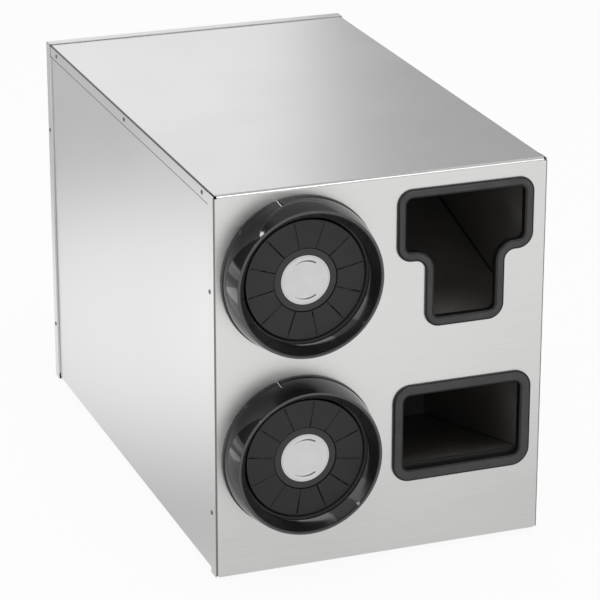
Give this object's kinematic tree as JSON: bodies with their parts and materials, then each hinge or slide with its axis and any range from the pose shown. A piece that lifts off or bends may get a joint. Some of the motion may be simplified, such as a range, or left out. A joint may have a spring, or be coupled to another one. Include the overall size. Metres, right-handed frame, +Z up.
{
  "type": "countertop cup dispenser cabinet",
  "caption": "Stainless countertop cabinet with two round pull-type cup dispensers, a T-shaped lid slot and a rectangular bin opening in its front.",
  "frame": {"origin": "centre of the footprint of the whole object, on the surface that it stands on", "axes": "+Z up, -Y towards the user (the side with the openings), +Y along the cabinet's depth"},
  "size_m": [0.39, 0.673, 0.4518],
  "materials": {
    "stainless": "brushed stainless steel, grain along the front's width and the body's depth",
    "rivet": "plain pop rivets",
    "foot_rubber": "matt black rubber",
    "plated_steel": "zinc plated",
    "spring_steel": "bright drawn wire",
    "trim": "matt dark grey moulded trim",
    "chute": "matt dark grey paint",
    "ring_plastic": "black moulded plastic",
    "tube_plastic": "natural white tube",
    "collar_gloss": "polished black moulded plastic",
    "leaf_plastic": "satin black moulded plastic",
    "follower_plastic": "satin black moulded plastic, hub a little lighter",
    "label": "plain white label stock, blank"
  },
  "bodies": {
    "cabinet": {"front_panel": "stainless", "body_wrap": "stainless", "top_panel": "stainless", "rear_cover": "stainless", "top_rivets": "rivet", "front_rivets": "rivet", "rear_rivets": "rivet", "feet": "foot_rubber", "foot_screws": "plated_steel", "foot_nuts": "plated_steel", "lid_slot_trim": "trim", "bin_trim": "trim", "lid_chute": "chute", "lower_bin": "chute", "upper_mounting_ring": "ring_plastic", "upper_clamp_ring": "plated_steel", "upper_clamp_screws": "plated_steel", "upper_tube": "tube_plastic", "upper_tube_end_cap": "ring_plastic", "upper_follower_spring": "spring_steel", "lower_mounting_ring": "ring_plastic", "lower_clamp_ring": "plated_steel", "lower_clamp_screws": "plated_steel", "lower_tube": "tube_plastic", "lower_tube_end_cap": "ring_plastic", "lower_follower_spring": "spring_steel"},
    "upper_collar": {"upper_collar": "collar_gloss", "upper_cam_ring": "leaf_plastic"},
    "upper_follower": {"upper_follower": "follower_plastic", "upper_follower_label": "label"},
    "upper_leaf_1": {"upper_leaf_1": "leaf_plastic"},
    "upper_leaf_2": {"upper_leaf_2": "leaf_plastic"},
    "upper_leaf_3": {"upper_leaf_3": "leaf_plastic"},
    "upper_leaf_4": {"upper_leaf_4": "leaf_plastic"},
    "upper_leaf_5": {"upper_leaf_5": "leaf_plastic"},
    "upper_leaf_6": {"upper_leaf_6": "leaf_plastic"},
    "lower_collar": {"lower_collar": "collar_gloss", "lower_cam_ring": "leaf_plastic"},
    "lower_follower": {"lower_follower": "follower_plastic", "lower_follower_label": "label"},
    "lower_leaf_1": {"lower_leaf_1": "leaf_plastic"},
    "lower_leaf_2": {"lower_leaf_2": "leaf_plastic"},
    "lower_leaf_3": {"lower_leaf_3": "leaf_plastic"},
    "lower_leaf_4": {"lower_leaf_4": "leaf_plastic"},
    "lower_leaf_5": {"lower_leaf_5": "leaf_plastic"},
    "lower_leaf_6": {"lower_leaf_6": "leaf_plastic"}
  },
  "joints": [
    {"name": "upper_collar_turn", "type": "hinge", "parent": "cabinet", "child": "upper_collar", "pos_m": [-0.09685, -0.2985, 0.3517], "axis": [0, 1, 0], "range_deg": [0, 36]},
    {"name": "upper_follower_slide", "type": "slide", "parent": "cabinet", "child": "upper_follower", "axis": [0, 1, 0], "range_m": [0, 0.42], "stiffness_N_per_m": 15, "springref_m": -0.15, "deforming": ["upper_follower_spring"]},
    {"name": "upper_leaf_1_swing", "type": "hinge", "parent": "cabinet", "child": "upper_leaf_1", "pos_m": [-0.01835, -0.3195, 0.3517], "axis": [0, -1, 0], "range_deg": [0, 14]},
    {"name": "upper_leaf_2_swing", "type": "hinge", "parent": "cabinet", "child": "upper_leaf_2", "pos_m": [-0.0576, -0.3195, 0.41968], "axis": [0, -1, 0], "range_deg": [0, 14]},
    {"name": "upper_leaf_3_swing", "type": "hinge", "parent": "cabinet", "child": "upper_leaf_3", "pos_m": [-0.1361, -0.3195, 0.41968], "axis": [0, -1, 0], "range_deg": [0, 14]},
    {"name": "upper_leaf_4_swing", "type": "hinge", "parent": "cabinet", "child": "upper_leaf_4", "pos_m": [-0.17535, -0.3195, 0.3517], "axis": [0, -1, 0], "range_deg": [0, 14]},
    {"name": "upper_leaf_5_swing", "type": "hinge", "parent": "cabinet", "child": "upper_leaf_5", "pos_m": [-0.1361, -0.3195, 0.28372], "axis": [0, -1, 0], "range_deg": [0, 14]},
    {"name": "upper_leaf_6_swing", "type": "hinge", "parent": "cabinet", "child": "upper_leaf_6", "pos_m": [-0.0576, -0.3195, 0.28372], "axis": [0, -1, 0], "range_deg": [0, 14]},
    {"name": "lower_collar_turn", "type": "hinge", "parent": "cabinet", "child": "lower_collar", "pos_m": [-0.09685, -0.2985, 0.1444], "axis": [0, 1, 0], "range_deg": [0, 36]},
    {"name": "lower_follower_slide", "type": "slide", "parent": "cabinet", "child": "lower_follower", "axis": [0, 1, 0], "range_m": [0, 0.42], "stiffness_N_per_m": 15, "springref_m": -0.15, "deforming": ["lower_follower_spring"]},
    {"name": "lower_leaf_1_swing", "type": "hinge", "parent": "cabinet", "child": "lower_leaf_1", "pos_m": [-0.01835, -0.3195, 0.1444], "axis": [0, -1, 0], "range_deg": [0, 14]},
    {"name": "lower_leaf_2_swing", "type": "hinge", "parent": "cabinet", "child": "lower_leaf_2", "pos_m": [-0.0576, -0.3195, 0.21238], "axis": [0, -1, 0], "range_deg": [0, 14]},
    {"name": "lower_leaf_3_swing", "type": "hinge", "parent": "cabinet", "child": "lower_leaf_3", "pos_m": [-0.1361, -0.3195, 0.21238], "axis": [0, -1, 0], "range_deg": [0, 14]},
    {"name": "lower_leaf_4_swing", "type": "hinge", "parent": "cabinet", "child": "lower_leaf_4", "pos_m": [-0.17535, -0.3195, 0.1444], "axis": [0, -1, 0], "range_deg": [0, 14]},
    {"name": "lower_leaf_5_swing", "type": "hinge", "parent": "cabinet", "child": "lower_leaf_5", "pos_m": [-0.1361, -0.3195, 0.07642], "axis": [0, -1, 0], "range_deg": [0, 14]},
    {"name": "lower_leaf_6_swing", "type": "hinge", "parent": "cabinet", "child": "lower_leaf_6", "pos_m": [-0.0576, -0.3195, 0.07642], "axis": [0, -1, 0], "range_deg": [0, 14]}
  ],
  "couplings": [
    {"joint": "upper_leaf_1_swing", "follows": "upper_collar_turn", "ratio": 0.385},
    {"joint": "upper_leaf_2_swing", "follows": "upper_collar_turn", "ratio": 0.385},
    {"joint": "upper_leaf_3_swing", "follows": "upper_collar_turn", "ratio": 0.385},
    {"joint": "upper_leaf_4_swing", "follows": "upper_collar_turn", "ratio": 0.385},
    {"joint": "upper_leaf_5_swing", "follows": "upper_collar_turn", "ratio": 0.385},
    {"joint": "upper_leaf_6_swing", "follows": "upper_collar_turn", "ratio": 0.385},
    {"joint": "lower_leaf_1_swing", "follows": "lower_collar_turn", "ratio": 0.385},
    {"joint": "lower_leaf_2_swing", "follows": "lower_collar_turn", "ratio": 0.385},
    {"joint": "lower_leaf_3_swing", "follows": "lower_collar_turn", "ratio": 0.385},
    {"joint": "lower_leaf_4_swing", "follows": "lower_collar_turn", "ratio": 0.385},
    {"joint": "lower_leaf_5_swing", "follows": "lower_collar_turn", "ratio": 0.385},
    {"joint": "lower_leaf_6_swing", "follows": "lower_collar_turn", "ratio": 0.385}
  ]
}
